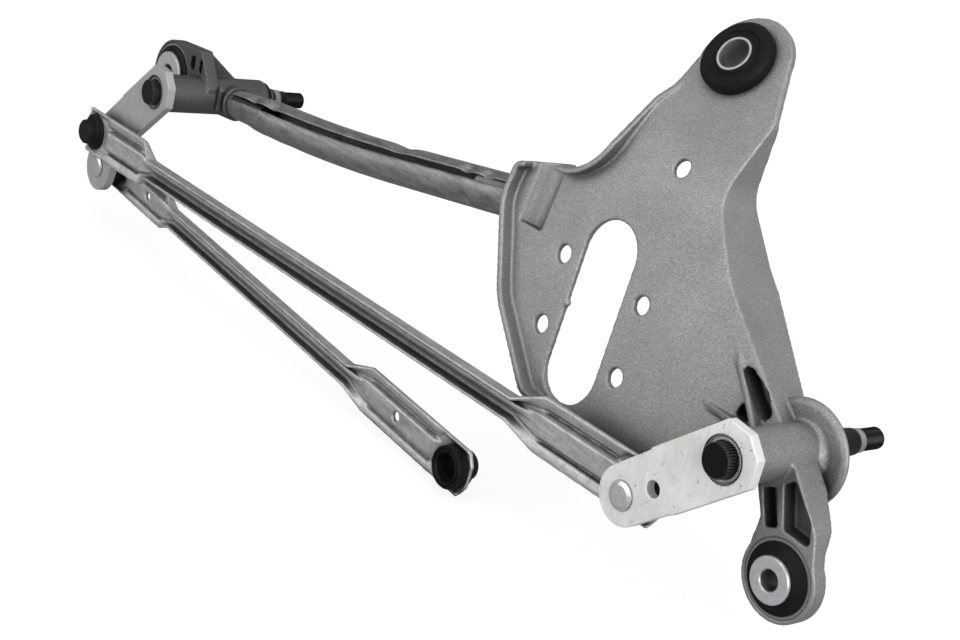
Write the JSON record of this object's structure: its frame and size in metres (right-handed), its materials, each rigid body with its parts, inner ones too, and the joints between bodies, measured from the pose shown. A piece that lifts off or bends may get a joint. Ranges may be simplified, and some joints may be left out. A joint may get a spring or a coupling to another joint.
{
  "type": "windscreen wiper linkage",
  "caption": "Windscreen wiper linkage: cast brackets joined by a tube carry the wiper spindles, whose cranks are tied by a pressed channel link, with an open-ended link for the motor.",
  "frame": {"origin": "on the axis of the lower mounting sleeve, in the middle of the driver bracket's lower ear", "axes": "+X along the linkage from the passenger's side to the driver's side; +Y along the spindles, from the cranks to the wiper arms; +Z from the lower ear towards the upper ear"},
  "size_m": [0.5883, 0.1241, 0.2544],
  "materials": {
    "cast_aluminium": "sand-cast, grainy",
    "zinc_steel": "bright zinc plated",
    "link_steel": "dull zinc plated",
    "tube_steel": "dull zinc plated",
    "black_steel": "black phosphated steel",
    "bright_steel": "turned, zinc plated",
    "ring_steel": "plain",
    "bronze": "sintered bronze",
    "rubber": "satin moulded rubber",
    "seal_rubber": "satin rubber",
    "black_plastic": "moulded"
  },
  "bodies": {
    "frame": {"driver_bracket": "cast_aluminium", "passenger_bracket": "cast_aluminium", "frame_tube": "tube_steel", "driver_bush_front": "bronze", "driver_bush_rear": "bronze", "driver_seal": "seal_rubber", "driver_thrust_washer": "bright_steel", "passenger_bush_front": "bronze", "passenger_bush_rear": "bronze", "passenger_seal": "seal_rubber", "passenger_thrust_washer": "bright_steel", "lower_mount_ring": "ring_steel", "lower_rubber": "rubber", "lower_sleeve": "bright_steel", "passenger_mount_ring": "ring_steel", "passenger_rubber": "rubber", "passenger_sleeve": "bright_steel", "upper_rubber": "rubber", "upper_sleeve": "bright_steel"},
    "driver_rocker": {"driver_crank": "zinc_steel", "driver_spindle": "black_steel", "driver_circlip": "black_steel", "driver_ball_stud": "bright_steel"},
    "passenger_rocker": {"passenger_crank": "zinc_steel", "passenger_spindle": "black_steel", "passenger_circlip": "black_steel", "passenger_ball_stud": "bright_steel", "motor_ball_stud": "bright_steel"},
    "long_link_assembly": {"long_link": "link_steel", "long_link_driver_cup": "black_plastic", "long_link_driver_seal": "seal_rubber", "long_link_passenger_cup": "black_plastic", "long_link_passenger_seal": "seal_rubber"},
    "motor_link_assembly": {"motor_link": "link_steel", "motor_link_crank_cup": "black_plastic", "motor_link_crank_seal": "seal_rubber", "motor_link_free_cup": "black_plastic", "motor_link_free_seal": "seal_rubber"}
  },
  "joints": [
    {"name": "driver_swing", "type": "hinge", "parent": "frame", "child": "driver_rocker", "pos_m": [-0.0214, -0.0315, 0.0466], "axis": [0, 1, 0], "range_deg": [-75, 5]},
    {"name": "passenger_swing", "type": "hinge", "parent": "frame", "child": "passenger_rocker", "pos_m": [-0.5009, -0.0315, 0.0466], "axis": [0, 1, 0], "range_deg": [-75, 5]},
    {"name": "long_link_swing", "type": "hinge", "parent": "driver_rocker", "child": "long_link_assembly", "pos_m": [-0.06562, -0.0205, 0.00679], "axis": [0, 1, 0], "range_deg": [-5, 75]},
    {"name": "motor_link_swing", "type": "hinge", "parent": "passenger_rocker", "child": "motor_link_assembly", "pos_m": [-0.55431, -0.0205, -0.01888], "axis": [0, 1, 0], "range_deg": [-5, 75]}
  ],
  "couplings": [
    {"joint": "passenger_swing", "follows": "driver_swing", "ratio": 1},
    {"joint": "long_link_swing", "follows": "driver_swing", "ratio": -1},
    {"joint": "motor_link_swing", "follows": "driver_swing", "ratio": -1}
  ]
}
